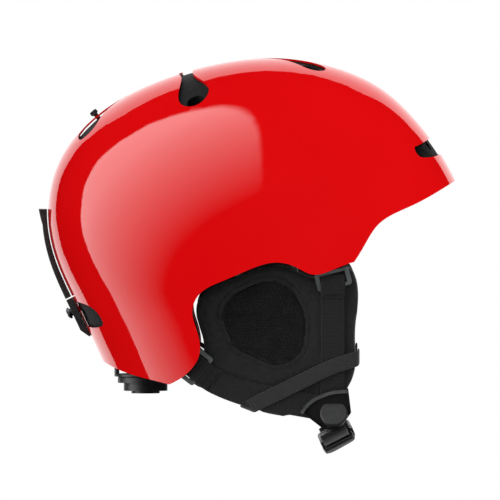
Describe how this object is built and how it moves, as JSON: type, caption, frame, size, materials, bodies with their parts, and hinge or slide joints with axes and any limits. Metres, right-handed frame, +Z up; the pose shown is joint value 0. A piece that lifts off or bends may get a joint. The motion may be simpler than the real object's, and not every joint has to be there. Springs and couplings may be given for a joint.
{
  "type": "ski helmet",
  "caption": "Glossy in-mould ski helmet with foam liner, sliding vent shutter, ear pads, size dial, goggle strap clip, strap dividers and a buckled chin strap.",
  "frame": {"origin": "middle of the head cavity, on the centre plane, level with the middle of the ear openings", "axes": "+X forwards to the brim, +Y to the wearer's left, +Z up through the crown"},
  "size_m": [0.2932, 0.223, 0.2793],
  "materials": {
    "shell_polycarbonate": "gloss",
    "liner_foam": "matte",
    "comfort_fabric": "matte",
    "black_plastic": "satin",
    "rivet_steel": "satin",
    "keeper_rubber": "matte",
    "pad_fabric": "matte",
    "mesh_plastic": "matte",
    "grey_plastic": "satin",
    "webbing": "matte",
    "elastic": "matte"
  },
  "bodies": {
    "root": {"brow_pad": "comfort_fabric", "buckle_socket": "black_plastic", "buckle_strap": "webbing", "chin_sleeve": "pad_fabric", "chin_strap": "webbing", "clip_foot": "black_plastic", "clip_rivet": "rivet_steel", "crown_pad": "comfort_fabric", "dial_cover": "black_plastic", "dial_housing": "black_plastic", "divider_cap_left": "black_plastic", "divider_cap_right": "black_plastic", "ear_mesh_left": "mesh_plastic", "ear_mesh_right": "mesh_plastic", "ear_pad_left": "pad_fabric", "ear_pad_right": "pad_fabric", "elastic_band_left": "elastic", "elastic_band_right": "elastic", "eps_liner": "liner_foam", "front_anchor_left": "grey_plastic", "front_anchor_right": "grey_plastic", "front_strap_left": "webbing", "front_strap_right": "webbing", "nape_pad": "comfort_fabric", "pad_studs_left": "black_plastic", "pad_studs_right": "black_plastic", "rear_anchor_left": "grey_plastic", "rear_anchor_right": "grey_plastic", "rear_strap_left": "webbing", "rear_strap_right": "webbing", "shell": "shell_polycarbonate", "shutter_rail": "black_plastic", "strap_divider_left": "black_plastic", "strap_divider_right": "black_plastic", "strap_keeper": "keeper_rubber", "temple_pad_left": "comfort_fabric", "temple_pad_right": "comfort_fabric"},
    "shutter": {"vent_shutter": "black_plastic", "slider_knob": "black_plastic"},
    "clip_arm": {"goggle_clip": "black_plastic"},
    "dial": {"dial_knob": "black_plastic", "dial_pinion": "black_plastic"},
    "arm_right": {"fit_arm_right": "black_plastic"},
    "arm_left": {"fit_arm_left": "black_plastic"},
    "tongue": {"buckle_tongue": "black_plastic"}
  },
  "joints": [
    {"name": "vent_slide", "type": "hinge", "parent": "root", "child": "shutter", "pos_m": [-0.024, 0, 0.028], "axis": [0, 1, 0], "range_deg": [0, 8]},
    {"name": "clip_flex", "type": "hinge", "parent": "root", "child": "clip_arm", "pos_m": [-0.13138, 0, 0.00173], "axis": [0, 1, 0], "range_deg": [-18, 0], "stiffness_Nm_per_rad": 0.5},
    {"name": "dial_turn", "type": "hinge", "parent": "root", "child": "dial", "pos_m": [-0.077, 0, -0.05], "axis": [0, 0, 1], "range_deg": [0, 138]},
    {"name": "arm_right_slide", "type": "hinge", "parent": "root", "child": "arm_right", "pos_m": [0, 0, -0.05], "axis": [0, 0, 1], "range_deg": [-9.6, 0]},
    {"name": "arm_left_slide", "type": "hinge", "parent": "root", "child": "arm_left", "pos_m": [0, 0, -0.05], "axis": [0, 0, 1], "range_deg": [0, 8.45]},
    {"name": "buckle_release", "type": "slide", "parent": "root", "child": "tongue", "axis": [0.0513, -0.9936, -0.1007], "range_m": [0, 0.018], "deforming": ["chin_strap"]}
  ],
  "couplings": [
    {"joint": "arm_right_slide", "follows": "dial_turn", "ratio": -0.069444},
    {"joint": "arm_left_slide", "follows": "dial_turn", "ratio": 0.060976}
  ]
}
